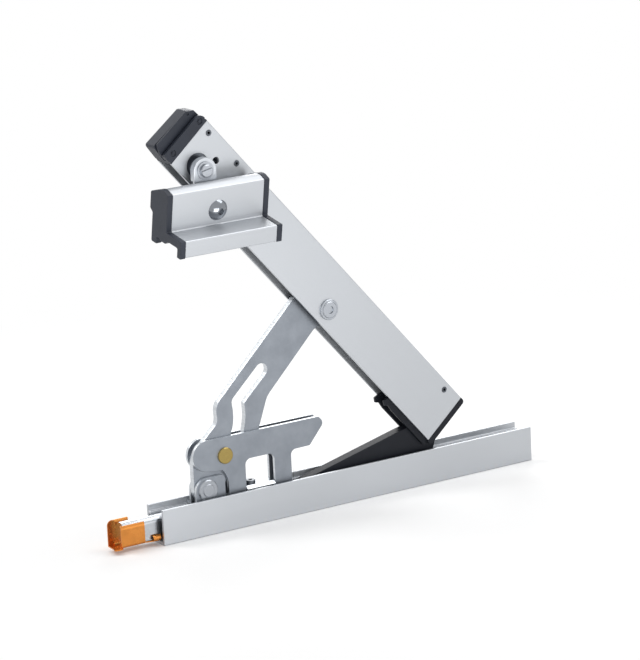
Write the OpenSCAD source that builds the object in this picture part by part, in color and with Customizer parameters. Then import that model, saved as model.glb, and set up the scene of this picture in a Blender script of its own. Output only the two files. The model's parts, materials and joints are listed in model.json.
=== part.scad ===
// Fanlight scissor stay, shown open.
// The rail lies along X with its back on z = 0, the sash moves out along +Z,
// and Y runs across the rail. The driven lever swings about its pivot in the rail,
// the arm folds on the lever, and the shoe keeps the arm's foot in the rail.

/* [Base rail] */
// Length of the base rail
rail_l = 248; // [240:1:270]
// Outer width of the base rail
rail_w = 17.2; // [17:0.2:18.4]
// Outer height of the base rail
rail_h = 20; // [19.6:0.2:21]
// Thickness of the rail's side walls
rail_wall = 1.7; // [1.5:0.1:1.9]
// Thickness of the rail's floor
rail_floor = 2; // [1.6:0.1:2.2]
// How far the inner ledges stand in from the walls
ledge_in = 2.2; // [2:0.1:2.3]
// Thickness of the inner ledges
ledge_t = 1.5; // [1:0.1:2]
// Height of the ledges' upper face above the rail's back
ledge_z = 16.5; // [16.3:0.1:16.7]
// Radius of the fixing holes in the floor
fix_r = 2.1; // [1.8:0.1:2.3]
// Distance of the fixing holes from the rail's ends
fix_in = 9; // [8:0.5:12]

/* [Linkage] */
// Distance from lever pivot to arm pivot, and from arm pivot to sash pivot
link_l = 120.5; // [118:0.5:121]
// Distance from arm pivot to the shoe's pivot
foot_l = 105; // [104:0.5:106]
// Angle of the lever above the rail when open
lever_open = 47.2; // [46:0.2:48]
// Angle of the arm above the rail when open
arm_open = 49.1; // [48.6:0.1:49.6]
// Distance of the lever pivot from the rail's left end
pivot_in = 31.9; // [30:0.5:34]
// Height of the lever pivot above the rail's back
pivot_z = 24.2; // [24:0.1:24.6]

/* [Lever] */
// Thickness of the lever
lever_t = 3.8; // [3:0.1:4]
// Radius of the lever pivot pin
lever_pin_r = 3; // [2.6:0.1:3.4]
// Radius of the lever's end round its pivot
lever_eye_r = 7.5; // [7:0.1:7.6]
// Radius of the arm pivot pin
arm_pin_r = 4; // [3:0.1:4.4]
// Travel of the carriage while the lever swings
slide_travel = 36; // [34:0.5:37]
// Extra length of the slot in which the lever stays still
dwell_l = 22; // [18:1:23]

/* [Carriage and drive rod] */
// Thickness of the carriage plates and of the bearing ears
plate_t = 2; // [1.6:0.1:2.1]
// Gap between plates that slide past each other
plate_gap = 0.1; // [0.08:0.02:0.2]
// Radius of the brass cam pin
cam_r = 3.5; // [3:0.1:3.6]
// Clearance of the cam pin in the lever's slot
cam_gap = 0.3; // [0.25:0.05:0.5]
// Width of the drive rod
rod_w = 7.8; // [7:0.2:7.8]
// Height of the drive rod
rod_h = 13.1; // [12.6:0.1:13.2]
// Rounding along the drive rod's upper edges
rod_round = 3.2; // [2:0.2:3.4]
// Thickness of the spring clip's sheet
clip_t = 0.6; // [0.5:0.05:0.7]

/* [Arm] */
// Width of the arm's profile
arm_w = 14.2; // [14:0.1:14.4]
// Height of the arm's profile
arm_h = 31.5; // [31:0.1:32]
// Thickness of the arm's side walls
arm_wall = 1.5; // [1.3:0.1:1.6]
// Thickness of the arm's back web
arm_web = 1.8; // [1.4:0.1:2]
// Distance of the sash pivot from the arm's upper end
arm_over = 14.15; // [13.4:0.25:15.9]
// Distance of the shoe's pivot from the arm's lower end
foot_over = 2.35; // [1.85:0.25:3.35]
// Depth of the pivots below the arm's back
arm_depth = 22.25; // [22:0.05:22.4]

/* [Sash bracket] */
// Length of the bracket's profile
bracket_l = 57; // [50:1:64]
// Depth of the bracket's box
bracket_d = 17; // [16:0.5:19]
// Height of the bracket's front face
bracket_h = 20.8; // [19:0.2:22]
// Reach of the bracket's lower shelf
shelf_d = 15; // [12:0.5:18]
// Height of the lip below the shelf
lip_h = 9.4; // [8:0.2:12]
// Wall of the bracket's profile
bracket_t = 2; // [1.6:0.1:2.2]
// Length of the bracket's end caps
bcap_t = 3.3; // [2.5:0.1:4]
// Lean of the bracket towards the sash when open
bracket_lean = 11; // [8:0.5:11.5]
// Radius of the round bead on which the bracket tilts
bead_r = 2.4; // [2:0.1:2.5]
// Thickness of the sash pivot's ear plate
ear_t = 4; // [3:0.1:4.2]
// Radius of the ear plate's head
ear_r = 7; // [6.5:0.1:7.4]
// Height of the sash pivot above the tilting bead
ear_drop = 12.2; // [12:0.1:13]

/* [Hidden] */
$fn = 64;

// Clearance of parts that are seated but not pressed
seat = 0.05;
// Clearance of running pins, radial
run = 0.05;
// Clearance of sliding and moulded parts
slip = 0.3;
// Cuts run this far past the faces that they open
cut = 1;
// Points in each rounded corner of an outline
corner_n = 6;

// Derived places
rail_x0 = -rail_l / 2;
rail_in = rail_w / 2 - rail_wall;
ledge_y = rail_in - ledge_in;
A = [rail_x0 + pivot_in, 0, pivot_z];
B = A + link_l * [cos(lever_open), 0, sin(lever_open)];
foot_rise = link_l * sin(lever_open) - foot_l * sin(arm_open);
lever_closed = asin(foot_rise / link_l);
swing = lever_open - lever_closed;
C = B + foot_l * [cos(arm_open), 0, -sin(arm_open)];
D = B + link_l * [-cos(arm_open), 0, sin(arm_open)];
lever_y = lever_t / 2;
plate_in = lever_y + plate_gap;
plate_out = plate_in + plate_t;
head_t = 1.2;
arm_l = link_l + arm_over + foot_l + foot_over;
arm_in = arm_w / 2 - arm_wall;
arm_x0 = -link_l - arm_over;
arm_x1 = arm_x0 + arm_l;
arm_z1 = arm_depth;
arm_z0 = arm_depth - arm_h;
rod_z1 = ledge_z - 0.4;
rod_z0 = rod_z1 - rod_h;
cam = [12, 17.5];
slot_r = cam_r + cam_gap;
// The bead stands this far in front of the arm
bead_out = 6.6;
neck_half = 1;
bead = [D[0], -arm_w / 2 - bead_out, D[2] - ear_drop];
ear_front = bead[1] - neck_half;
ear_rear = ear_front + ear_t;

// Outline helpers
function flat(p) = [p[0], p[1]];
function unit(v) = v / norm(v);
function wrap(a) = a > 180 ? a - 360 : a < -180 ? a + 360 : a;
function corner(a, b, c, r) = r <= 0 ? [b] :
    let (u = unit(a - b), v = unit(c - b), half = acos(u * v) / 2,
         o = b + unit(u + v) * r / sin(half), s = b + u * r / tan(half) - o, e = b + v * r / tan(half) - o,
         a0 = atan2(s[1], s[0]), turn = wrap(atan2(e[1], e[0]) - a0))
    [for (i = [0:corner_n]) o + r * [cos(a0 + turn * i / corner_n), sin(a0 + turn * i / corner_n)]];
// Each point is [x, z, radius of its corner]
function rounded(p) = [for (i = [0:len(p) - 1])
    each corner(flat(p[(i + len(p) - 1) % len(p)]), flat(p[i]), flat(p[(i + 1) % len(p)]), p[i][2])];
function turned(p, a) = [p[0] * cos(a) - p[1] * sin(a), p[0] * sin(a) + p[1] * cos(a)];
function arc(o, r, a0, a1, n) =
    [for (i = [0:n]) o + r * [cos(a0 + (a1 - a0) * i / n), sin(a0 + (a1 - a0) * i / n)]];

module upright(y0, y1) {
    translate([0, y1, 0]) rotate([90, 0, 0]) linear_extrude(y1 - y0) children();
}
module along(x0, x1) {
    translate([x0, 0, 0]) rotate([90, 0, 90]) linear_extrude(x1 - x0) children();
}
module rod_y(r, y0, y1) {
    translate([0, y1, 0]) rotate([90, 0, 0]) cylinder(r = r, h = y1 - y0);
}
module on_arm() {
    translate(B) rotate([0, arm_open, 0]) children();
}
module on_bracket() {
    translate(bead) rotate([bracket_lean, 0, 0]) children();
}
module button(r, t, bevel) {
    rotate_extrude() polygon([[0, 0], [r, 0], [r, t - bevel], [r - bevel, t], [0, t]]);
}
// A round head that stands out towards -Y from the plane y
module head_front(r, t, bevel, y) {
    translate([0, y, 0]) rotate([90, 0, 0]) button(r, t, bevel);
}
module head_rear(r, t, bevel, y) {
    translate([0, y, 0]) rotate([-90, 0, 0]) button(r, t, bevel);
}

// Base rail
module rail_section() {
    h = rail_w / 2;
    polygon(rounded([[-h, 0, 0.5], [h, 0, 0.5], [h, rail_h, 0.3], [rail_in, rail_h, 0.3],
        [rail_in, ledge_z, 0], [ledge_y, ledge_z, 0.2], [ledge_y, ledge_z - ledge_t, 0.2],
        [rail_in, ledge_z - ledge_t, 0], [rail_in, rail_floor, 0.4], [-rail_in, rail_floor, 0.4],
        [-rail_in, ledge_z - ledge_t, 0], [-ledge_y, ledge_z - ledge_t, 0.2], [-ledge_y, ledge_z, 0.2],
        [-rail_in, ledge_z, 0], [-rail_in, rail_h, 0.3], [-h, rail_h, 0.3]]));
}
module base_rail() {
    color("silver") difference() {
        along(rail_x0, rail_x0 + rail_l) rail_section();
        for (x = [rail_x0 + fix_in, rail_x0 + rail_l - fix_in]) translate([x, 0, -cut])
            cylinder(r = fix_r, h = rail_floor + 2 * cut);
        for (x = rivet_x, s = [-1, 1]) translate([x, s * rivet_y, ledge_z - ledge_t - cut])
            cylinder(r = rivet_r + seat, h = ledge_t + 2 * cut);
    }
}

// Bearing that carries the lever: two folded angles, riveted on the rail's ledges
// Their flanges leave the rod room below and the lever room between them
flange_t = 1.6;
ear_x0 = -7.6;
ear_x1 = 11.3;
ear_top = 7.2;
rivet_r = 0.8;
rivet_head_r = 1;
rivet_y = (ledge_y + rail_in) / 2;
rivet_x = [A[0] - 4, A[0] + 8];
module bearing_bracket() {
    half = rail_in - 0.1;
    color("lightslategray") difference() {
        for (s = [0, 1]) mirror([0, s, 0]) translate([A[0], 0, 0]) {
            upright(plate_in, plate_out)
                polygon(rounded([[ear_x0, ledge_z, 0], [ear_x1, ledge_z, 0], [ear_x1, A[2] + ear_top, 3],
                    [ear_x0, A[2] + ear_top, 6.8]]));
            along(ear_x0, ear_x1)
                polygon(rounded([[plate_in, ledge_z, 0], [half, ledge_z, 0.4],
                    [half, ledge_z + flange_t, 0.4], [plate_in, ledge_z + flange_t, 0]]));
        }
        translate(A) rod_y(lever_pin_r + seat, -rail_w, rail_w);
        for (x = rivet_x, s = [-1, 1]) translate([x, s * rivet_y, ledge_z - cut])
            cylinder(r = rivet_r + seat, h = flange_t + 2 * cut);
    }
}
module bearing_rivets() {
    color("gainsboro") for (x = rivet_x, s = [-1, 1]) translate([x, s * rivet_y, 0]) {
        translate([0, 0, ledge_z - ledge_t]) cylinder(r = rivet_r, h = ledge_t + flange_t + 0.4);
        translate([0, 0, ledge_z + flange_t]) button(rivet_head_r, 0.6, 0.2);
    }
}
module lever_pin() {
    head_r = 6;
    disc_r = 3.6;
    color("lightgray") translate(A) {
        rod_y(lever_pin_r, -plate_out - 0.4, plate_out + 0.4);
        head_front(head_r, 0.9, 0.5, -plate_out);
        head_front(disc_r, 1.4, 0.3, -plate_out);
        head_rear(head_r, 0.9, 0.5, plate_out);
        head_rear(disc_r, 1.4, 0.3, plate_out);
    }
}

// Stamped lever with its cam slot
// The slot follows the cam pin while the carriage slides and the lever swings at a constant ratio
slot_n = 10;
function cam_path(t) = turned(cam + [slide_travel * t, 0], swing * t);
function cam_turn(t) = let (d = cam_path(t + 0.001) - cam_path(t - 0.001)) atan2(d[1], d[0]);
function slot_side(t, a) = cam_path(t) + slot_r * [cos(cam_turn(t) + a), sin(cam_turn(t) + a)];
module slot_outline() {
    polygon(concat(
        [for (i = [1:slot_n - 1]) slot_side(i / slot_n, -90)],
        arc(cam_path(1), slot_r, cam_turn(1) - 90, cam_turn(1) + 90, 12),
        [for (i = [slot_n - 1:-1:1]) slot_side(i / slot_n, 90)],
        arc(cam_path(0), slot_r, cam_turn(0) + 90, cam_turn(0) + 270, 12)));
    translate(cam_path(1)) rotate(swing) {
        translate([0, -slot_r]) square([dwell_l, 2 * slot_r]);
        translate([dwell_l, 0]) circle(r = slot_r);
    }
}
// A point near the lever's head, measured along and across the lever from the arm pivot
function head_point(s, t, r) = let (ax = [cos(lever_open), sin(lever_open)])
    concat([B[0] - A[0], B[2] - A[2]] + s * ax + t * [-ax[1], ax[0]], [r]);
module lever() {
    r = lever_eye_r;
    color("lightslategray") difference() {
        translate([A[0], 0, A[2]]) upright(-lever_y, lever_y) difference() {
            union() {
                circle(r = r);
                polygon(rounded([[-r, 0, 0], [0.8 * r, -0.6 * r, 0], [24, 12.5, 5], [34, 22, 6],
                    [36.4, 29, 6], [42.4, 45.1, 12], head_point(-11.5, -2.4, 8),
                    head_point(-5.1, -7.6, 3), head_point(10.5, -10.5, 9), head_point(10.5, 10, 9),
                    head_point(-6, 20, 2), [18.6, 55, 1.5], [15.8, 52.1, 1.5], [8.8, 45.8, 8],
                    [9.6, 36, 6], [-1, 26.5, 6], [-r, 19, 6]]));
            }
            slot_outline();
        }
        translate(A) rod_y(lever_pin_r + run, -rail_w, rail_w);
        translate(B) rod_y(arm_pin_r + run, -rail_w, rail_w);
    }
}

// Folded carriage that carries the cam pin and the locking tail
base_t = 1.8;
leg_x0 = 13.6;
leg_x1 = 54.8;
win_x0 = 24.9;
win_x1 = 43.7;
lobe = [0.2, 19.3];
top_z = 28;
lobe_r = top_z - lobe[1];
win_z = 12.8;
module carriage_side() {
    z0 = rod_z1 - A[2];
    difference() {
        polygon(concat(
            rounded([[leg_x0, z0, 0], [leg_x1, z0, 0], [leg_x1, 12.3, 3], [67.3, 12.6, 1.5],
                [77.4, 24.2, 3], [73.8, top_z, 1.5], [lobe[0], top_z, 0]]),
            arc(lobe, lobe_r, 90, 262, 14),
            [[5.5, 9.6]],
            arc([0, 0], leg_x0, 44, 0, 8)));
        polygon(rounded([[win_x0, z0 + base_t, 0], [win_x1, z0 + base_t, 0],
            [win_x1, win_z, 3.5], [win_x0, win_z, 3.5]]));
    }
}
module carriage_fold() {
    z0 = rod_z1 - A[2];
    difference() {
        polygon(rounded([[-plate_out, z0, 1.4], [plate_out, z0, 1.4],
            [plate_out, top_z + cut, 0], [-plate_out, top_z + cut, 0]]));
        polygon(rounded([[-plate_in, z0 + base_t, 0.4], [plate_in, z0 + base_t, 0.4],
            [plate_in, top_z + 2 * cut, 0], [-plate_in, top_z + 2 * cut, 0]]));
    }
}
module slide_carriage() {
    color("lightslategray") translate(A) difference() {
        intersection() {
            upright(-plate_out - cut, plate_out + cut) carriage_side();
            along(-2 * top_z, 4 * top_z) carriage_fold();
        }
        translate([cam[0], 0, cam[1]]) rod_y(cam_r + seat, -rail_w, rail_w);
        translate([screw_x, 0, -pivot_z]) cylinder(r = screw_r + seat, h = pivot_z);
    }
}
module cam_pin() {
    head_r = 4.6;
    color("gold") translate(A + [cam[0], 0, cam[1]]) {
        rod_y(cam_r, -plate_out - 0.4, plate_out + 0.4);
        head_front(head_r, head_t, 0.35, -plate_out);
        head_rear(head_r, head_t, 0.35, plate_out);
    }
}

// Clamp that holds the carriage on the drive rod
screw_x = 29.8;
screw_r = 1.5;
screw_in = 4;
bar_h = 3.5;
bar_half = 4.6;
bar_bevel = 1.6;
module clamp_bar() {
    w = bar_half;
    b = bar_bevel;
    color("gainsboro") translate([A[0], 0, rod_z1 + base_t]) difference() {
        along(win_x0 + slip, win_x1 - slip)
            polygon([[-w, 0], [w, 0], [w, bar_h - b], [w - b, bar_h], [b - w, bar_h], [-w, bar_h - b]]);
        translate([screw_x, 0, -cut]) cylinder(r = screw_r + seat, h = bar_h + 2 * cut);
    }
}
module clamp_screw() {
    z1 = rod_z1 + base_t + bar_h;
    color("darkgray") translate([A[0] + screw_x, 0, 0]) difference() {
        union() {
            translate([0, 0, rod_z1 - screw_in]) cylinder(r = screw_r, h = z1 - rod_z1 + screw_in + 0.4);
            translate([0, 0, z1]) button(2.9, 2.2, 0.4);
        }
        translate([0, 0, z1 + 1]) cylinder(r = 1.3, h = 3, $fn = 6);
    }
}
rod_x0 = rail_x0 - 22.5;
rod_foot = 1;
// The rod's section, with every face moved out by g
function rod_outline(g) = let (w = rod_w / 2 + g)
    rounded([[-w, rod_z0 - g, rod_foot + g], [w, rod_z0 - g, rod_foot + g],
        [w, rod_z1 + g, rod_round + g], [-w, rod_z1 + g, rod_round + g]]);
module drive_rod() {
    color("gainsboro") difference() {
        along(rod_x0, A[0] + leg_x1) polygon(rod_outline(0));
        translate([A[0] + screw_x, 0, rod_z1 - screw_in]) cylinder(r = screw_r + seat, h = screw_in + cut);
    }
}

// Spring clip folded from one strip round the rod's free end
clip_gap = 0.02;
clip_over = 5.3;
band_over = 1.8;
band_drop = 1.2;
wall_l = 12.8;
wall_low = 6;
tongue = 6.1;
curl_r = 2;
curl_l = 4.6;
module clip_curl(z0) {
    y = curl_r - tongue;
    z = z0 + curl_r;
    x1 = rail_x0 - 0.4;
    x0 = x1 - curl_l;
    intersection() {
        along(x0, x1) polygon(concat([[y + 1.5, z0]], arc([y, z], curl_r, -90, -250, 14),
            arc([y, z], curl_r - clip_t, -250, -90, 14), [[y + 1.5, z0 + clip_t]]));
        upright(-tongue - cut, 0) polygon(rounded([[x0, z0, 1.8], [x1, z0, 1.8],
            [x1, z0 + 2 * curl_r + cut, 0], [x0, z0 + 2 * curl_r + cut, 0]]));
    }
    translate([0, 0, z0]) linear_extrude(clip_t)
        polygon([[rail_x0 - 10.5, -2.5], [rail_x0 - 10.5, 2], [x1 - 1, 0], [x1 - 1, y], [x0 + 1, y]]);
}
module rod_clip() {
    i = rod_w / 2 + clip_gap;
    o = i + clip_t;
    z0 = rod_z0 - clip_gap - clip_t;
    band_x0 = rod_x0 - band_over;
    band_x1 = rail_x0 - 9.5;
    wall_x0 = rod_x0 - clip_over;
    wall_x1 = wall_x0 + wall_l;
    wall_z1 = rod_z1 + 0.9;
    color("darkorange") {
        along(band_x0, band_x1) difference() {
            polygon(rod_outline(clip_gap + clip_t));
            polygon(rod_outline(clip_gap));
            translate([-o - cut, rod_z1 - band_drop]) square([2 * (o + cut), rod_h]);
            translate([0, rod_z0 + 1.2]) square([o + cut, rod_h]);
        }
        upright(i, o) polygon(rounded([[wall_x0, z0, 0], [band_x1, z0, 0], [band_x1, z0 + wall_low, 1],
            [wall_x1 + 1, z0 + wall_low, 1], [wall_x1, wall_z1, 0.5], [wall_x0, wall_z1, 3]]));
        translate([0, 0, z0]) linear_extrude(clip_t) polygon(rounded([[wall_x0, o, 0],
            [wall_x0 - 0.6, -2.4, 1], [wall_x0 - 2, -tongue, 1.2], [wall_x0 + 3.6, -tongue, 1.2],
            [band_x0 + 1, 1 - i, 0], [band_x0 + 1, o, 0]]));
        clip_curl(z0);
    }
}

// Arm: a U profile, open towards the rail
pin_v = 4.3;
pin_r = 1.6;
stud_r = 3;
hub_r = 4.7;
// The sash pivot sits off the bush's centre, so that turning the bush sets the sash's height
bush_r = 6.7;
bush_rise = 1.7;
bush_sink = 0.7;
top_pin_u = [5.5, 30.7];
foot_pin_in = 12.7;
foot_pin_u = arm_l - foot_pin_in;
side_hole = [19.7, 11.9];
side_hole_r = 2;
module arm_section() {
    h = arm_w / 2;
    polygon(rounded([[-h, arm_z0, 0.2], [-arm_in, arm_z0, 0.2], [-arm_in, arm_z1 - arm_web, 0.3],
        [arm_in, arm_z1 - arm_web, 0.3], [arm_in, arm_z0, 0.2], [h, arm_z0, 0.2],
        [h, arm_z1, 0.8], [-h, arm_z1, 0.8]]));
}
module on_bush() {
    translate([-link_l, 0, 0]) rotate([0, -arm_open, 0]) translate([0, 0, bush_rise]) children();
}
module arm_profile() {
    color("silver") on_arm() difference() {
        along(arm_x0, arm_x1) arm_section();
        rod_y(arm_pin_r + seat, -arm_w, arm_w);
        on_bush() rod_y(bush_r + seat, -arm_w, 0);
        for (u = concat(top_pin_u, foot_pin_u)) translate([arm_x0 + u, 0, arm_z1 - pin_v])
            rod_y(pin_r + seat, -arm_w, arm_w);
        translate([arm_x0 + side_hole[0], 0, arm_z1 - side_hole[1]]) rod_y(side_hole_r, -arm_w, 0);
    }
}
module cap_rib(y0, y1, p) {
    translate([arm_x0, 0, 0]) upright(y0, y1) polygon(rounded(p));
}
module arm_top_cap() {
    h = arm_w / 2;
    z0 = arm_z0;
    z1 = arm_z1;
    plug_y = arm_in - 0.1;
    plug_z1 = z1 - arm_web - 0.1;
    mark_x = arm_x0 - 3.25;
    color("darkslategray") on_arm() difference() {
        union() {
            cap_rib(-h, h, [[0, z0, 0], [0, z1, 0], [-3, z1 - 0.6, 1.5], [-3, z0 + 0.4, 1.5]]);
            cap_rib(-h, 2.5 - h, [[-2, z0, 0], [-2, z1, 0], [-6.2, z1, 4], [-6.6, z0, 1.2]]);
            cap_rib(3.3 - h, 4.5 - h, [[-2, z0 + 0.3, 0], [-2, z1 - 0.6, 0], [-8.4, z1 - 0.8, 2],
                [-11.7, z1 - 4.8, 2], [-12.4, z0 + 2.4, 1.4], [-8, z0 + 0.3, 1.6]]);
            cap_rib(5.3 - h, h, [[-2, z0, 0], [-2, z1, 0], [-7.6, z1 - 0.2, 2],
                [-11, z1 - 3.9, 1.6], [-12.4, z0 + 0.8, 1.6]]);
            translate([arm_x0, 0, 0]) upright(-plug_y, plug_y)
                polygon([[-cut, plug_z1 - 9], [34, plug_z1 - 5.5], [34, plug_z1], [-cut, plug_z1]]);
        }
        for (u = top_pin_u) translate([arm_x0 + u, 0, z1 - pin_v]) rod_y(pin_r + seat, -arm_w, arm_w);
        for (z = [z0 + 5, z1 - 3.65]) translate([mark_x, 0, z]) difference() {
            rod_y(1.8, -h - cut, 0.7 - h);
            rod_y(0.8, -h - 2 * cut, h);
        }
        translate([arm_x0 - 9.8, 0, z1 - 4.8]) rod_y(0.8, 2.5 - h, 3.9 - h);
    }
}
module roll_pin(u) {
    h = arm_w / 2;
    translate([arm_x0 + u, 0, arm_z1 - pin_v]) difference() {
        rod_y(pin_r, -h - 0.1, h);
        rod_y(pin_r / 2, -h - cut, h + cut);
    }
}
module top_cap_pins() {
    color("gray") on_arm() for (u = top_pin_u) roll_pin(u);
}
module foot_insert_pin() {
    color("gray") on_arm() roll_pin(foot_pin_u);
}

// Foot of the arm: a moulded insert whose two cheeks hold the shoe's pin
cheek_in = 3.7;
shoe_pin_r = 2.5;
foot_drop = 3.6;
foot_plate_t = 3.6;
fork_top = 6;
module arm_foot_insert() {
    h = arm_w / 2;
    y = arm_in - 0.1;
    z1 = arm_z1 - arm_web - 0.1;
    low = arm_z0 - foot_drop;
    color("darkslategray") on_arm() difference() {
        union() {
            translate([arm_x1, 0, 0]) upright(-h, h)
                polygon(rounded([[0, arm_z0 - 1, 0], [0, arm_z1, 0],
                    [foot_plate_t, arm_z1, 2], [foot_plate_t, arm_z0 - 1, 2]]));
            translate([arm_x1, 0, 0]) upright(-y, y)
                polygon(rounded([[cut, low, 1], [cut, z1, 0], [-24, z1, 1], [-24, z1 - 11, 4],
                    [-38, arm_z0 + 2, 3], [-39.5, low + 0.6, 0.6], [-37, low - 1, 0.6],
                    [-35, low + 0.6, 0.6], [-31, low, 1]]));
        }
        translate([arm_x1 - 45, -cheek_in, low - 5])
            cube([45 + foot_plate_t + cut, 2 * cheek_in, fork_top - low + 5]);
        translate([foot_l, 0, 0]) rod_y(shoe_pin_r + seat, -y - cut, y + cut);
        translate([arm_x0 + foot_pin_u, 0, arm_z1 - pin_v]) rod_y(pin_r + seat, -arm_w, arm_w);
    }
}
module shoe_pin() {
    y = arm_in - 0.2;
    color("gray") translate(C) rod_y(shoe_pin_r, -y, y);
}
module arm_pin() {
    h = arm_w / 2;
    color("lightgray") on_arm() difference() {
        union() {
            rod_y(arm_pin_r, -h - 0.5, h + 0.5);
            head_front(5.8, 1.1, 0.3, -h);
            head_front(4.7, 1.7, 0.4, -h);
            head_rear(5.8, 1.1, 0.3, h);
        }
        translate([0, -h - 1, 0]) rod_y(2.2, -cut, 0);
    }
}
module arm_spacers() {
    color("gainsboro") translate(B) for (s = [0, 1]) mirror([0, s, 0]) difference() {
        rod_y(6, lever_y + plate_gap, arm_in - seat);
        rod_y(arm_pin_r + seat, 0, arm_w);
    }
}

// Glide shoe: a moulded wedge that runs under the rail's ledges
// Its pivot dips a little halfway through the swing, so it stands clear of the rail's floor
shoe_lift = 0.75;
shoe_gap = 5.2;
module glide_shoe() {
    x0 = A[0] + leg_x1 + shoe_gap;
    x1 = C[0] - 1.5;
    z0 = rail_floor + shoe_lift;
    wide_z = ledge_z - ledge_t - slip;
    wing = rail_in - slip;
    neck = cheek_in - slip;
    shoe_eye_r = 4.6;
    color("darkslategray") difference() {
        union() {
            upright(-wing, wing) polygon(rounded([[x0, z0, 1], [x1, z0, 1], [x1, wide_z, 1],
                [x0 + 4, wide_z, 1], [x0, z0 + 4, 1]]));
            upright(-neck, neck) polygon(concat([[x0, z0 + 3], [x1, z0 + 3], [x1 + 1, wide_z + 2]],
                arc([C[0], C[2]], shoe_eye_r, -30, 100, 10),
                [[C[0] - 21.6, C[2]], [x0, wide_z + 2]]));
        }
        translate(C) rod_y(shoe_pin_r + run, -rail_w, rail_w);
    }
}

// Sash pivot: bush and stud in the arm's front wall, ear plate on the stud
module stud_bush() {
    color("gray") difference() {
        on_arm() on_bush() rod_y(bush_r, bush_sink - arm_w / 2, -arm_in);
        translate(D) rod_y(stud_r + seat, -2 * arm_w, 0);
    }
}
module pivot_stud() {
    head_t = 1.5;
    head_y = ear_front - 0.7;
    color("gainsboro") translate(D) difference() {
        union() {
            rod_y(stud_r, head_y, -arm_in);
            rod_y(hub_r, ear_rear + plate_gap, bush_sink - arm_w / 2);
            head_rear(3.2, 0.6, 0.2, -arm_in);
            head_front(3.5, head_t, 0.4, head_y);
        }
        translate([-5, head_y - head_t - cut, -0.5]) rotate([0, -12, 0]) cube([10, cut + 0.8, 1]);
    }
}
module stud_washer() {
    color("lightgray") translate(D) difference() {
        rod_y(5, ear_front - 0.65, ear_front - seat);
        rod_y(stud_r + seat, -3 * arm_w, 0);
    }
}
neck_h = 7;
module ear_plate() {
    r = ear_r;
    color("lightgray") difference() {
        union() {
            translate([D[0], 0, 0]) upright(ear_front, ear_rear)
                polygon(concat([[r, bead[2] + neck_h]], arc([0, D[2]], r, 0, 180, 24),
                    [[-r, bead[2] + neck_h]]));
            translate([D[0] - r, ear_front, bead[2]]) cube([2 * r, 2 * neck_half, neck_h + 0.5]);
            translate([D[0] - r, bead[1], bead[2]]) rotate([0, 90, 0]) cylinder(r = bead_r, h = 2 * r);
        }
        translate(D) rod_y(stud_r + run, -3 * arm_w, 0);
    }
}

// Sash bracket: an extruded profile with a round socket for the ear's bead
// Its mouth leaves the ear's neck room for the lean
socket_r = bead_r + run;
socket_t = 1.4;
mouth_half = neck_half + 0.4;
mouth_h = 12;
back_y = socket_r + socket_t;
front_y = back_y - bracket_d;
front_z = 7.6;
back_z = 4.6;
shelf_z = front_z - bracket_h;
lip_t = 3;
lip_y = front_y - shelf_d;
// The rear leg stays clear of the leaning arm
leg_y = 1.3;
leg_t = 1.8;
leg_z = -22.4;
leg_foot = 5;
// Front, shelf and lip of the bracket, from the lip's rear to the back's top, moved out by g
function bracket_front(g) = [[lip_y + lip_t + g, shelf_z - lip_h - g, 0.5],
    [lip_y - g, shelf_z - lip_h - g, 0.5], [lip_y - g, shelf_z + g, 0.8],
    [front_y - g, shelf_z + g, 0.6], [front_y - g, front_z + g, 1],
    [front_y + 6, front_z + 1.8 + g, 8], [back_y + g, back_z + g, 1.5], [back_y + g, -4.6, 0.6],
    [leg_y + g, -6.4, 0.8]];
module bracket_section() {
    t = bracket_t;
    difference() {
        polygon(rounded(concat(bracket_front(0), [[leg_y, leg_z, 0.5], [leg_y - leg_foot, leg_z, 0.5],
            [leg_y - leg_foot, leg_z + leg_t, 0.5], [leg_y - leg_t, leg_z + leg_t, 0.4],
            [leg_y - leg_t, shelf_z - t, 0.4], [lip_y + lip_t, shelf_z - t, 0.8]])));
        difference() {
            polygon(rounded([[leg_y - leg_t, shelf_z + 0.2, 0.6], [leg_y - leg_t, back_z - 1.6, 0.6],
                [front_y + 6, front_z - 0.4, 6], [front_y + t, front_z - t, 0.6],
                [front_y + t, shelf_z + 0.2, 0.6]]));
            circle(r = socket_r + socket_t);
        }
        circle(r = socket_r);
        polygon([[-mouth_half, 0], [mouth_half, 0],
            [mouth_half + mouth_h * tan(bracket_lean + 1), mouth_h], [-mouth_half, mouth_h]]);
    }
}
dome_z = -5.2;
dome_r = 2.5;
dome_head_r = 5.8;
dome_head_t = 3.2;
module bracket_profile() {
    color("silver") on_bracket() difference() {
        along(-bracket_l / 2, bracket_l / 2) bracket_section();
        translate([0, 0, dome_z]) rod_y(dome_r + seat, front_y - cut, front_y + bracket_t + cut);
    }
}
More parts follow.
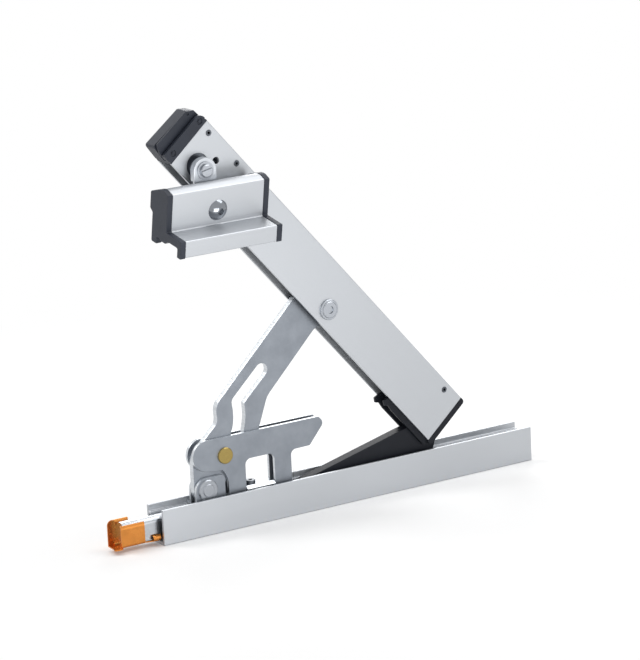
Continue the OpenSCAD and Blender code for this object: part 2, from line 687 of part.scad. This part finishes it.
// End cap, thicker than the profile under the shelf and at the rear leg
cap_g = 0.25;
cap_low = shelf_z - 4.4;
module bracket_cap(side) {
    g = cap_g;
    y = leg_y + g;
    color("darkslategray") on_bracket() mirror([side, 0, 0])
        along(bracket_l / 2, bracket_l / 2 + bcap_t)
            polygon(rounded(concat(bracket_front(g), [[y, leg_z - g, 1], [y - 5.5, leg_z - g, 0.8],
                [y - 5.5, cap_low - 1, 0.6], [y - 8.2, cap_low - 1, 0.6], [y - 8.2, cap_low - 2, 0.6],
                [y - 14, cap_low - 2, 1], [y - 16.5, cap_low, 1], [lip_y + lip_t + g, cap_low, 0.8]])));
}
module bracket_cap_left() { bracket_cap(1); }
module bracket_cap_right() { bracket_cap(0); }
module dome_screw() {
    r = dome_head_r;
    h = dome_head_t;
    ball = (r * r + h * h) / (2 * h);
    color("gainsboro") on_bracket() translate([0, front_y, dome_z]) rotate([90, 0, 0]) difference() {
        union() {
            rotate_extrude() polygon(concat([[0, 0], [r, 0]],
                [for (i = [1:10]) let (a = asin(r / ball) * (1 - i / 10))
                    [ball * sin(a), ball * cos(a) - ball + h]]));
            translate([0, 0, -6]) cylinder(r = dome_r, h = 6.2);
        }
        translate([0, 0, 1.2]) cylinder(r = 2.1, h = h, $fn = 6);
    }
}
module bracket_nut() {
    y = front_y + bracket_t;
    color("gray") on_bracket() difference() {
        translate([-5, y, dome_z - 4.4]) cube([10, 3, 8.8]);
        translate([0, 0, dome_z]) rod_y(dome_r + seat, y - cut, y + 4);
    }
}

base_rail();
bearing_bracket();
bearing_rivets();
lever_pin();
lever();
slide_carriage();
cam_pin();
clamp_bar();
clamp_screw();
drive_rod();
rod_clip();
arm_profile();
arm_top_cap();
arm_foot_insert();
top_cap_pins();
foot_insert_pin();
arm_pin();
arm_spacers();
glide_shoe();
shoe_pin();
stud_bush();
pivot_stud();
stud_washer();
ear_plate();
bracket_profile();
bracket_cap_left();
bracket_cap_right();
dome_screw();
bracket_nut();
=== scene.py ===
"""Looks of the fanlight scissor stay: its finishes, crisp edges, floor, lights and camera."""

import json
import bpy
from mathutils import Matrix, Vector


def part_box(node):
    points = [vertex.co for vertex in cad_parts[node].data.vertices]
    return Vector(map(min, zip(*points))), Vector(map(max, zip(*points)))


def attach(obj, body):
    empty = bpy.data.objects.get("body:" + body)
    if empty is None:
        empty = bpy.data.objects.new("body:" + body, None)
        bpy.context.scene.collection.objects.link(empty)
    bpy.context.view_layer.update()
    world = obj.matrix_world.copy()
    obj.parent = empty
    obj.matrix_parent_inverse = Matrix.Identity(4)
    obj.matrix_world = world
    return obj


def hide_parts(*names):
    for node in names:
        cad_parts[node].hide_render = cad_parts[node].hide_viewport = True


bl_info = {
    "name": "Fanlight Scissor Stay",
    "version": (1, 0, 0),
    "blender": (4, 5, 0),
    "location": "View3D > Sidebar > Stay",
    "description": "Dresses the packed scissor stay and sets its studio",
    "category": "Add Mesh",
}

from math import atan2, cos, radians, sin

import bmesh
import bpy
from bpy.props import FloatProperty, FloatVectorProperty, PointerProperty
from mathutils import Matrix, Vector

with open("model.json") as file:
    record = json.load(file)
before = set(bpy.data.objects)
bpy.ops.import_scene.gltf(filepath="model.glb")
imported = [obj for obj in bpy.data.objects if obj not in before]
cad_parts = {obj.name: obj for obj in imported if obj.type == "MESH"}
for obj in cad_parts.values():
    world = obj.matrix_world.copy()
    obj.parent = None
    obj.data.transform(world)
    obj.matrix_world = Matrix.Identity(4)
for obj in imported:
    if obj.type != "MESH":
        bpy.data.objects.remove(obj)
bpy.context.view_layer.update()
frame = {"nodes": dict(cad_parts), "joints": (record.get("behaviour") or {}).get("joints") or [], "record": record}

MM = 0.001
JOINTS = {joint["name"]: joint for joint in frame["joints"]}
LEVER_PIVOT = Vector(JOINTS["lever_swing"]["pos_m"])
ARM_PIVOT = Vector(JOINTS["arm_fold"]["pos_m"])
SHOE_PIVOT = Vector(JOINTS["shoe_turn"]["pos_m"])
SASH_PIVOT = Vector(JOINTS["ear_turn"]["pos_m"])
ARM_LINE = SHOE_PIVOT - ARM_PIVOT
ARM_SLANT = atan2(-ARM_LINE.z, ARM_LINE.x)
BODY_NODES = frame["record"]["behaviour"]["bodies"]
NODE_BODY = {node: body for body, nodes in BODY_NODES.items() for node in nodes}

# A CAD mesh is loose triangles: corners closer than this are one, and faces turned by less are one face
WELD = 0.002 * MM
SAME_FACE = radians(0.5)
# Edges turned by more than the first angle are rounded, and what is left above the second looks sharp
SHARP_EDGE = radians(32)
SMOOTH_EDGE = radians(28)
# Plates lie across Y, so a face whose normal has less of Y than this belongs to the rim
RIM_TURN = 0.9


def linear(code):
    """Turns an sRGB hex value into linear red, green and blue."""
    channels = [int(code[i:i + 2], 16) / 255 for i in (1, 3, 5)]
    return tuple(c / 12.92 if c <= 0.04045 else ((c + 0.055) / 1.055) ** 2.4 for c in channels)


def colour_property(name, description, code):
    return FloatVectorProperty(name=name, description=description, default=linear(code), subtype="COLOR",
                               size=3, min=0, max=1)


def width_property(name, description, width, widest):
    return FloatProperty(name=name, description=description, default=width, min=0, max=widest,
                         unit="LENGTH", precision=5)


def power_property(name, description, watts):
    return FloatProperty(name=name, description=description, default=watts, min=0, max=200, unit="POWER")


class StayColours(bpy.types.PropertyGroup):
    aluminium: colour_property("Aluminium", "Satin anodised profiles", "#B9BCC0")
    zinc: colour_property("Zinc", "Zinc plated sheet steel", "#8D9299")
    zinc_cloud: colour_property("Zinc cloud", "Darker clouds in the zinc", "#82878E")
    cut_edge: colour_property("Cut edge", "Sheared rim of the plated sheets", "#D2D6DA")
    turned: colour_property("Turned steel", "Turned and plated pins", "#A4A8AE")
    bright: colour_property("Bright steel", "Drawn rod, clamp and ear", "#BEC2C7")
    # Darker than bare chrome: the colour is a painted reflection of dark surroundings in the domed screw and
    # rivets
    chrome: colour_property("Chrome", "Polished domed screw and rivets", "#8A8E94")
    dark: colour_property("Dark steel", "Roll pins and hidden fixings", "#5E6268")
    brass: colour_property("Brass", "Turned cam pin", "#A08C54")
    copper: colour_property("Copper", "Copper-coloured clip", "#D48A44")
    polyamide: colour_property("Polyamide", "Charcoal end caps", "#272C37")
    slider: colour_property("Slider", "Black shoe and foot insert", "#14171E")
    floor: colour_property("Floor", "Studio floor", "#FFFFFF")


class StayEdges(bpy.types.PropertyGroup):
    profile: width_property("Profile edge", "Rounding on the edges of the profiles", 0.15 * MM, 0.2 * MM)
    plate: width_property("Plate edge", "Rounding on the rims of stamped plates", 0.3 * MM, 0.5 * MM)
    mould: width_property("Moulded edge", "Rounding on the edges of mouldings", 0.35 * MM, 0.6 * MM)
    rib: width_property("Rib edge", "Rounding on the thin ribs of the top cap", 0.2 * MM, 0.2 * MM)


class StayStudio(bpy.types.PropertyGroup):
    key_power: power_property("Key light", "Power of the large light behind and left", 10)
    front_power: power_property("Front light", "Power of the low light in front and left", 0.8)
    side_power: power_property("Side light", "Power of the low light in front and right", 0.14)
    top_power: power_property("Top light", "Power of the light above", 6)
    edge_power: power_property("Edge light", "Power of the light that shows in the upper edges", 7)
    back_power: power_property("Back light", "Power of the light that shows in level faces", 4)
    sky: FloatProperty(name="Sky", description="Strength of the even light around the stay", default=0.32,
                       min=0, max=2)


def add_node(tree, kind, values=None, links=None, **settings):
    """Adds a node, sets its options and the values of its sockets, and links its inputs."""
    node = tree.nodes.new(kind)
    for key, value in settings.items():
        setattr(node, key, value)
    for key, value in (values or {}).items():
        node.inputs[key].default_value = value
    for key, socket in (links or {}).items():
        tree.links.new(socket, node.inputs[key])
    return node


def new_material(name):
    material = bpy.data.materials.new(name)
    material.use_nodes = True
    material.node_tree.nodes.clear()
    return material, material.node_tree


def object_point(tree, turn=0, centre=(0, 0, 0)):
    """Object coordinates centred on a point, with X turned along a slanted piece."""
    coordinates = add_node(tree, "ShaderNodeTexCoord").outputs["Object"]
    moved = add_node(tree, "ShaderNodeMapping", {"Location": [-c for c in centre]}, {"Vector": coordinates})
    return add_node(tree, "ShaderNodeMapping", {"Rotation": (0, -turn, 0)},
                    {"Vector": moved.outputs["Vector"]}).outputs["Vector"]


def spots(tree, point, grain, detail, stretch=(1, 1, 1)):
    """A pattern of spots about one grain wide, in metres, stretched by the given factors."""
    scale = [1 / (grain * s) for s in stretch]
    scaled = add_node(tree, "ShaderNodeMapping", {"Scale": scale}, {"Vector": point}).outputs["Vector"]
    pattern = add_node(tree, "ShaderNodeTexNoise", {"Scale": 1, "Detail": detail}, {"Vector": scaled})
    return pattern.outputs["Fac"]


METAL = {"Metallic": 1}
# Nearly all of a pattern lies between these values
PATTERN_SPAN = {"From Min": 0.3, "From Max": 0.7}
# Sockets of a Mix node that mixes colours; by name only those that mix numbers are found
MIX_SHARE = 0
MIX_FIRST = 6
MIX_SECOND = 7
MIX_COLOUR = 2


def build_surface(tree, values, colour, roughness, relief):
    """Joins a colour, a roughness and a relief that each follow a pattern into one surface.

    Colour and roughness are a pattern and the two values it runs between. The relief is a pattern,
    its depth in metres and its strength. The values are set on the shader as they are.
    """
    pattern, first, second = colour
    share = add_node(tree, "ShaderNodeMapRange", PATTERN_SPAN, {"Value": pattern})
    mix = add_node(tree, "ShaderNodeMix", {MIX_FIRST: (*first, 1), MIX_SECOND: (*second, 1)},
                   {MIX_SHARE: share.outputs["Result"]}, data_type="RGBA")
    pattern, low, high = roughness
    dullness = add_node(tree, "ShaderNodeMapRange", {**PATTERN_SPAN, "To Min": low, "To Max": high},
                        {"Value": pattern})
    pattern, depth, strength = relief
    bump = add_node(tree, "ShaderNodeBump", {"Distance": depth, "Strength": strength}, {"Height": pattern})
    shader = add_node(tree, "ShaderNodeBsdfPrincipled", values,
                      {"Base Color": mix.outputs[MIX_COLOUR], "Roughness": dullness.outputs["Result"],
                       "Normal": bump.outputs["Normal"]})
    add_node(tree, "ShaderNodeOutputMaterial", links={"Surface": shader.outputs["BSDF"]})


def darker(colour, share):
    return [share * c for c in colour]


# Real die lines are about 0.1 mm apart and the etched skin sparkles at about 0.1 mm; both are drawn
# coarser so that they show
DIE_LINE_GAP = 0.5 * MM
DIE_LINE_STRETCH = (120, 1, 1)
ETCH_GRAIN = 0.25 * MM


def anodised_aluminium(name, turn=0):
    """Extruded and satin anodised aluminium: soft, even gloss with faint die lines along the profile."""
    colour = bpy.context.scene.stay_colours.aluminium
    material, tree = new_material(name)
    point = object_point(tree, turn)
    lines = spots(tree, point, DIE_LINE_GAP, 2, DIE_LINE_STRETCH)
    etch = spots(tree, point, ETCH_GRAIN, 1)
    build_surface(tree, METAL, colour=(lines, darker(colour, 0.97), colour), roughness=(lines, 0.44, 0.51),
                  relief=(etch, 0.004 * MM, 0.4))
    return material


ZINC_CLOUD = 9 * MM
ZINC_DIMPLE = 0.8 * MM


def zinc_sheet(name):
    """Stamped steel sheet, zinc plated: cloudy grey gloss with a slightly dimpled skin."""
    colours = bpy.context.scene.stay_colours
    material, tree = new_material(name)
    point = object_point(tree)
    clouds = spots(tree, point, ZINC_CLOUD, 4)
    dimples = spots(tree, point, ZINC_DIMPLE, 3)
    build_surface(tree, METAL, colour=(clouds, colours.zinc, colours.zinc_cloud),
                  roughness=(clouds, 0.4, 0.48), relief=(dimples, 0.012 * MM, 0.5))
    return material


TEAR_GAP = 0.9 * MM
TEAR_STRETCH = (1, 6, 1)


def sheared_rim(name):
    """The cut edge of a stamped sheet: bright, with torn lines across the sheet's thickness."""
    colour = bpy.context.scene.stay_colours.cut_edge
    material, tree = new_material(name)
    tears = spots(tree, object_point(tree), TEAR_GAP, 2, TEAR_STRETCH)
    build_surface(tree, METAL, colour=(tears, darker(colour, 0.8), colour), roughness=(tears, 0.28, 0.42),
                  relief=(tears, 0.04 * MM, 0.3))
    return material


# Real tool marks are about 0.1 mm apart; they are drawn coarser so that they show
TOOL_MARK_GAP = 0.35 * MM


def turned_metal(name, colour, centre):
    """Turned metal: fine rings round the pin's axis, which lies along Y."""
    material, tree = new_material(name)
    point = object_point(tree, centre=centre)
    flat = add_node(tree, "ShaderNodeMapping", {"Scale": (1, 0, 1)}, {"Vector": point}).outputs["Vector"]
    radius = add_node(tree, "ShaderNodeVectorMath", links={0: flat}, operation="LENGTH").outputs["Value"]
    marks = add_node(tree, "ShaderNodeTexNoise", {"Scale": 1 / TOOL_MARK_GAP, "Detail": 1}, {"W": radius},
                     noise_dimensions="1D").outputs["Fac"]
    build_surface(tree, METAL, colour=(marks, darker(colour, 0.9), colour), roughness=(marks, 0.27, 0.36),
                  relief=(marks, 0.006 * MM, 0.3))
    return material


HAZE_WIDTH = 2.5 * MM
HAZE_DULLNESS = 0.08


def polished_steel(name, colour, roughness):
    """Polished or drawn steel: a bright, nearly clean mirror with a soft haze."""
    material, tree = new_material(name)
    haze = spots(tree, object_point(tree), HAZE_WIDTH, 3)
    build_surface(tree, METAL, colour=(haze, darker(colour, 0.93), colour),
                  roughness=(haze, roughness, roughness + HAZE_DULLNESS), relief=(haze, 0.01 * MM, 0.4))
    return material


COAT_PATCH = 4 * MM


def copper_strip():
    """Spring steel strip with a copper-coloured coat: warm gloss, darker and duller in patches."""
    colour = bpy.context.scene.stay_colours.copper
    material, tree = new_material("copper_strip")
    patches = spots(tree, object_point(tree), COAT_PATCH, 1)
    build_surface(tree, METAL, colour=(patches, darker(colour, 0.9), colour),
                  roughness=(patches, 0.22, 0.28), relief=(patches, 0.01 * MM, 0.3))
    return material


# The real grain is about 0.15 mm wide; it is drawn coarser so that it shows
MOULD_GRAIN = 0.35 * MM
FLOW_PATCH = 12 * MM


def moulded_polyamide(name, colour, gloss):
    """Moulded glass-filled polyamide: dark, with a fine spark-eroded grain and a dull sheen."""
    material, tree = new_material(name)
    point = object_point(tree)
    grain = spots(tree, point, MOULD_GRAIN, 3)
    flow = spots(tree, point, FLOW_PATCH, 2)
    build_surface(tree, {"Specular IOR Level": gloss}, colour=(flow, darker(colour, 0.82), colour),
                  roughness=(grain, 0.42, 0.56), relief=(grain, 0.03 * MM, 0.5))
    return material


def crisp_copy(node, name, width, materials, rim=False, segments=2):
    """Stands for a CAD node with the same form, its sharp edges rounded by width."""
    mesh = frame["nodes"][node].data.copy()
    mesh.materials.clear()
    mesh.name = name
    for material in materials:
        mesh.materials.append(material)
    shape = bmesh.new()
    shape.from_mesh(mesh)
    bmesh.ops.remove_doubles(shape, verts=shape.verts, dist=WELD)
    bmesh.ops.dissolve_limit(shape, angle_limit=SAME_FACE, verts=shape.verts, edges=shape.edges)
    joined = [edge for edge in shape.edges if len(edge.link_faces) == 2]
    sharp = [edge for edge in joined if edge.calc_face_angle() > SHARP_EDGE]
    # Clamped, the shortest edge of a node would hold back the rounding of all the others
    bmesh.ops.bevel(shape, geom=sharp, offset=width, offset_type="OFFSET", segments=segments, profile=0.5,
                    affect="EDGES", clamp_overlap=False, material=-1)
    for face in shape.faces:
        face.smooth = True
        face.material_index = 1 if rim and abs(face.normal.y) < RIM_TURN else 0
    for edge in shape.edges:
        edge.smooth = len(edge.link_faces) == 2 and edge.calc_face_angle() < SMOOTH_EDGE
    shape.to_mesh(mesh)
    shape.free()
    if mesh.attributes.get("custom_normal"):
        mesh.attributes.remove(mesh.attributes["custom_normal"])
    piece = bpy.data.objects.new(name, mesh)
    bpy.context.scene.collection.objects.link(piece)
    weighted = piece.modifiers.new("flat faces stay flat", "WEIGHTED_NORMAL")
    weighted.keep_sharp = True
    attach(piece, NODE_BODY[node])
    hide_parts(node)


def dress(node, material):
    """Gives a CAD node its finish."""
    mesh_object = frame["nodes"][node]
    mesh_object.data.materials.clear()
    mesh_object.data.materials.append(material)


class STAY_OT_profiles(bpy.types.Operator):
    """Finish the rail, the arm and the sash bracket, which are sawn from extruded profiles"""
    bl_idname = "stay.profiles"
    bl_label = "Profiles"

    def execute(self, context):
        edge = context.scene.stay_edges.profile
        level = [anodised_aluminium("anodised_aluminium_level")]
        crisp_copy("base_rail", "rail_profile", edge, level, segments=1)
        crisp_copy("bracket_profile", "sash_profile", edge, level, segments=1)
        slanted = [anodised_aluminium("anodised_aluminium_slanted", ARM_SLANT)]
        crisp_copy("arm_profile", "folding_arm_profile", edge, slanted, segments=1)
        return {"FINISHED"}


class STAY_OT_stampings(bpy.types.Operator):
    """Round the rims of the stamped lever, carriage, bearing and ear, and finish their sheet metal"""
    bl_idname = "stay.stampings"
    bl_label = "Stampings"

    def execute(self, context):
        finish = [zinc_sheet("zinc_plated_sheet"), sheared_rim("sheared_zinc_rim")]
        edge = context.scene.stay_edges.plate
        crisp_copy("lever", "lever_plate", edge, finish, rim=True)
        crisp_copy("slide_carriage", "carriage_plates", edge, finish, rim=True)
        crisp_copy("bearing_bracket", "bearing_plates", edge, finish, rim=True)
        bright = [polished_steel("bright_zinc_ear", context.scene.stay_colours.bright, roughness=0.3)]
        crisp_copy("ear_plate", "ear", edge, bright)
        return {"FINISHED"}


class STAY_OT_pins(bpy.types.Operator):
    """Finish the turned pins, bushes and spacers"""
    bl_idname = "stay.pins"
    bl_label = "Pins"

    def execute(self, context):
        colours = context.scene.stay_colours
        low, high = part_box("cam_pin")
        dress("lever_pin", turned_metal("turned_lever_pin", colours.turned, LEVER_PIVOT))
        dress("cam_pin", turned_metal("turned_brass", colours.brass, (low + high) / 2))
        at_arm_pivot = turned_metal("turned_arm_pin", colours.turned, ARM_PIVOT)
        dress("arm_pin", at_arm_pivot)
        dress("arm_spacers", at_arm_pivot)
        dress("shoe_pin", turned_metal("turned_shoe_pin", colours.dark, SHOE_PIVOT))
        at_sash_pivot = turned_metal("turned_sash_pivot", colours.turned, SASH_PIVOT)
        dress("pivot_stud", at_sash_pivot)
        dress("stud_washer", at_sash_pivot)
        # The bush takes the dark steel, so the ring round the sash stud is dark
        dress("stud_bush", turned_metal("turned_dark_bush", colours.dark, SASH_PIVOT))
        return {"FINISHED"}


class STAY_OT_fixings(bpy.types.Operator):
    """Finish the domed screw, the nut, the rivets, the roll pins and the clamp screw"""
    bl_idname = "stay.fixings"
    bl_label = "Fixings"

    def execute(self, context):
        colours = context.scene.stay_colours
        # Its dark colour is a painted reflection of dark surroundings, not the chrome's own
        chrome = polished_steel("polished_chrome", colours.chrome, roughness=0.08)
        dark = polished_steel("dark_steel", colours.dark, roughness=0.32)
        dress("dome_screw", chrome)
        dress("bearing_rivets", chrome)
        for node in ("bracket_nut", "top_cap_pins", "foot_insert_pin", "clamp_screw"):
            dress(node, dark)
        return {"FINISHED"}


class STAY_OT_drive(bpy.types.Operator):
    """Finish the drive rod, its spring clip and the clamp bar"""
    bl_idname = "stay.drive"
    bl_label = "Drive rod"

    def execute(self, context):
        bright = polished_steel("drawn_steel", context.scene.stay_colours.bright, roughness=0.2)
        dress("drive_rod", bright)
        dress("clamp_bar", bright)
        dress("rod_clip", copper_strip())
        return {"FINISHED"}


class STAY_OT_mouldings(bpy.types.Operator):
    """Round and finish the moulded caps, the foot insert and the shoe"""
    bl_idname = "stay.mouldings"
    bl_label = "Mouldings"

    def execute(self, context):
        colours = context.scene.stay_colours
        edges = context.scene.stay_edges
        charcoal = [moulded_polyamide("charcoal_polyamide", colours.polyamide, gloss=0.35)]
        black = [moulded_polyamide("black_polyamide", colours.slider, gloss=0.22)]
        crisp_copy("arm_top_cap", "top_cap_moulding", edges.rib, charcoal)
        crisp_copy("arm_foot_insert", "foot_insert_moulding", edges.mould, black)
        crisp_copy("glide_shoe", "shoe_moulding", edges.mould, black)
        crisp_copy("bracket_cap_left", "left_cap_moulding", edges.mould, charcoal)
        crisp_copy("bracket_cap_right", "right_cap_moulding", edges.mould, charcoal)
        return {"FINISHED"}


# The camera looks at the middle of the stay from the front left and a little above
VIEW_AZIMUTH = radians(32.622)
VIEW_ELEVATION = radians(13.905)
VIEW_ROLL = radians(-2.716)
VIEW_DISTANCE = 1942.15 * MM
VIEW_TARGET = Vector((-11.97, 0, 99.94)) * MM
VIEW_LENS = 196.875
VIEW_CLIP_END = 20
SENSOR_WIDTH = 36


def add_camera():
    across = Vector((cos(VIEW_AZIMUTH), -sin(VIEW_AZIMUTH), 0))
    ahead = Vector((sin(VIEW_AZIMUTH) * cos(VIEW_ELEVATION), cos(VIEW_AZIMUTH) * cos(VIEW_ELEVATION),
                    -sin(VIEW_ELEVATION)))
    upward = across.cross(ahead)
    right = cos(VIEW_ROLL) * across + sin(VIEW_ROLL) * upward
    top = cos(VIEW_ROLL) * upward - sin(VIEW_ROLL) * across
    data = bpy.data.cameras.new("camera")
    data.lens = VIEW_LENS
    data.sensor_width = SENSOR_WIDTH
    data.sensor_fit = "HORIZONTAL"
    data.clip_end = VIEW_CLIP_END
    camera = bpy.data.objects.new("camera", data)
    camera.matrix_world = Matrix.Translation(VIEW_TARGET - VIEW_DISTANCE * ahead) @ Matrix(
        (right, top, -ahead)).transposed().to_4x4()
    bpy.context.scene.collection.objects.link(camera)
    bpy.context.scene.camera = camera


# Place, point faced, width and height of each lamp, in metres; StayStudio holds its power. The front
# and side lamps are low and close, so that the fronts grow darker to the right. The edge lamp shows
# in the upper edges, and the back lamp in the level faces
LAMPS = {
    "key": ((-0.9, 0.9, 1.3), (0, 0, 0.08), 0.8, 0.8),
    "front": ((-0.17, -0.38, 0.1), (-0.06, 0, 0.1), 0.3, 0.2),
    "side": ((0.1, -0.42, 0.06), (-0.04, 0, 0.1), 0.3, 0.12),
    "top": ((0, 0.1, 1.4), (0, 0, 0.05), 1.1, 1.1),
    "edge": ((0.73, -0.3, 1.2), (0, 0, 0.08), 0.9, 0.9),
    "back": ((0.75, 1.05, 0.55), (0, 0, 0.1), 0.6, 0.6),
}
# These would drown the shadow on the floor, so they don't light it
FLOOR_SPARING = ("front", "side")


def add_lamp(name, place, target, width, height, power, spared=None):
    """Adds an oblong light that faces the target and leaves the spared object unlit."""
    data = bpy.data.lights.new(name, "AREA")
    data.shape = "RECTANGLE"
    data.size = width
    data.size_y = height
    data.energy = power
    lamp = bpy.data.objects.new(name, data)
    lamp.visible_camera = False
    lamp.location = place
    lamp.rotation_euler = (Vector(target) - Vector(place)).to_track_quat("-Z", "Y").to_euler()
    bpy.context.scene.collection.objects.link(lamp)
    if spared:
        unlit = bpy.data.collections.new(name + "_spares")
        unlit.objects.link(spared)
        unlit.collection_objects[0].light_linking.link_state = "EXCLUDE"
        lamp.light_linking.receiver_collection = unlit


def seen_directly(tree):
    """1 for what the camera sees directly or in metal, and 0 for light that falls on the stay."""
    path = add_node(tree, "ShaderNodeLightPath").outputs
    mirrored = add_node(tree, "ShaderNodeMath",
                        links={0: path["Is Glossy Ray"], 1: path["Is Transmission Ray"]},
                        operation="MAXIMUM").outputs["Value"]
    return add_node(tree, "ShaderNodeMath", links={0: path["Is Camera Ray"], 1: mirrored},
                    operation="MAXIMUM").outputs["Value"]


# The floor lies a hair below the stay, so that the two don't share a plane
FLOOR_DROP = 0.1 * MM
FLOOR_REACH = 4
# Near the stay a small share of the paper's brightness is its own, so that the shadow shows. Further
# out all of it is, so that the paper is white as far as the eye reaches
NEAR_PAPER = 0.2
FAR_PAPER = 0.5
OWN_SHARE_NEAR = 0.15
OWN_SHARE_FAR = 1
WHITE = (1, 1, 1, 1)


def white_paper():
    """Matt white paper: it takes the stay's soft shadow and is white around it."""
    material, tree = new_material("white_paper")
    paper = add_node(tree, "ShaderNodeBsdfDiffuse", {"Color": (*bpy.context.scene.stay_colours.floor, 1)})
    glow = add_node(tree, "ShaderNodeEmission", {"Strength": 1})
    reach = add_node(tree, "ShaderNodeVectorMath", links={0: object_point(tree)}, operation="LENGTH")
    own = add_node(tree, "ShaderNodeMapRange",
                   {"From Min": NEAR_PAPER, "From Max": FAR_PAPER, "To Min": OWN_SHARE_NEAR,
                    "To Max": OWN_SHARE_FAR},
                   {"Value": reach.outputs["Value"]}, interpolation_type="SMOOTHSTEP")
    share = add_node(tree, "ShaderNodeMath", links={0: own.outputs["Result"], 1: seen_directly(tree)},
                     operation="MULTIPLY")
    mix = add_node(tree, "ShaderNodeMixShader", links={0: share.outputs["Value"], 1: paper.outputs["BSDF"],
                                                       2: glow.outputs["Emission"]})
    add_node(tree, "ShaderNodeOutputMaterial", links={"Surface": mix.outputs["Shader"]})
    return material


def add_floor():
    shape = bmesh.new()
    bmesh.ops.create_grid(shape, x_segments=1, y_segments=1, size=FLOOR_REACH)
    bmesh.ops.translate(shape, verts=shape.verts, vec=(0, 0, -FLOOR_DROP))
    mesh = bpy.data.meshes.new("studio_floor")
    shape.to_mesh(mesh)
    shape.free()
    mesh.materials.append(white_paper())
    floor = bpy.data.objects.new("studio_floor", mesh)
    bpy.context.scene.collection.objects.link(floor)
    return floor


def add_sky(strength):
    """Surrounds the stay with an even light that is plain white wherever it is seen."""
    world = bpy.data.worlds.new("studio")
    world.use_nodes = True
    tree = world.node_tree
    tree.nodes.clear()
    level = add_node(tree, "ShaderNodeMapRange", {"To Min": strength, "To Max": 1},
                     {"Value": seen_directly(tree)})
    background = add_node(tree, "ShaderNodeBackground", {"Color": WHITE},
                          {"Strength": level.outputs["Result"]})
    add_node(tree, "ShaderNodeOutputWorld", links={"Surface": background.outputs["Background"]})
    bpy.context.scene.world = world


class STAY_OT_stage(bpy.types.Operator):
    """Set the floor, the lamps, the even light and the camera"""
    bl_idname = "stay.stage"
    bl_label = "Stage"

    def execute(self, context):
        studio = context.scene.stay_studio
        context.scene.view_settings.view_transform = "Standard"
        floor = add_floor()
        add_sky(studio.sky)
        for name, (place, target, width, height) in LAMPS.items():
            power = getattr(studio, name + "_power")
            spared = floor if name in FLOOR_SPARING else None
            add_lamp(name + "_light", place, target, width, height, power, spared)
        add_camera()
        return {"FINISHED"}


class STAY_PT_panel(bpy.types.Panel):
    """Buttons that dress the stay"""
    bl_label = "Scissor Stay"
    bl_idname = "STAY_PT_panel"
    bl_space_type = "VIEW_3D"
    bl_region_type = "UI"
    bl_category = "Stay"

    def draw(self, context):
        for operator in OPERATORS:
            self.layout.operator(operator.bl_idname)
        for group in (context.scene.stay_colours, context.scene.stay_edges, context.scene.stay_studio):
            for name in group.__annotations__:
                self.layout.prop(group, name)


OPERATORS = (STAY_OT_profiles, STAY_OT_stampings, STAY_OT_pins, STAY_OT_fixings, STAY_OT_drive,
             STAY_OT_mouldings, STAY_OT_stage)
CLASSES = (StayColours, StayEdges, StayStudio, *OPERATORS, STAY_PT_panel)


def register():
    for cls in CLASSES:
        bpy.utils.register_class(cls)
    bpy.types.Scene.stay_colours = PointerProperty(type=StayColours)
    bpy.types.Scene.stay_edges = PointerProperty(type=StayEdges)
    bpy.types.Scene.stay_studio = PointerProperty(type=StayStudio)


def unregister():
    del bpy.types.Scene.stay_studio
    del bpy.types.Scene.stay_edges
    del bpy.types.Scene.stay_colours
    for cls in reversed(CLASSES):
        bpy.utils.unregister_class(cls)


def main():
    register()
    bpy.ops.stay.profiles()
    bpy.ops.stay.stampings()
    bpy.ops.stay.pins()
    bpy.ops.stay.fixings()
    bpy.ops.stay.drive()
    bpy.ops.stay.mouldings()
    bpy.ops.stay.stage()


if __name__ == "__main__":
    main()
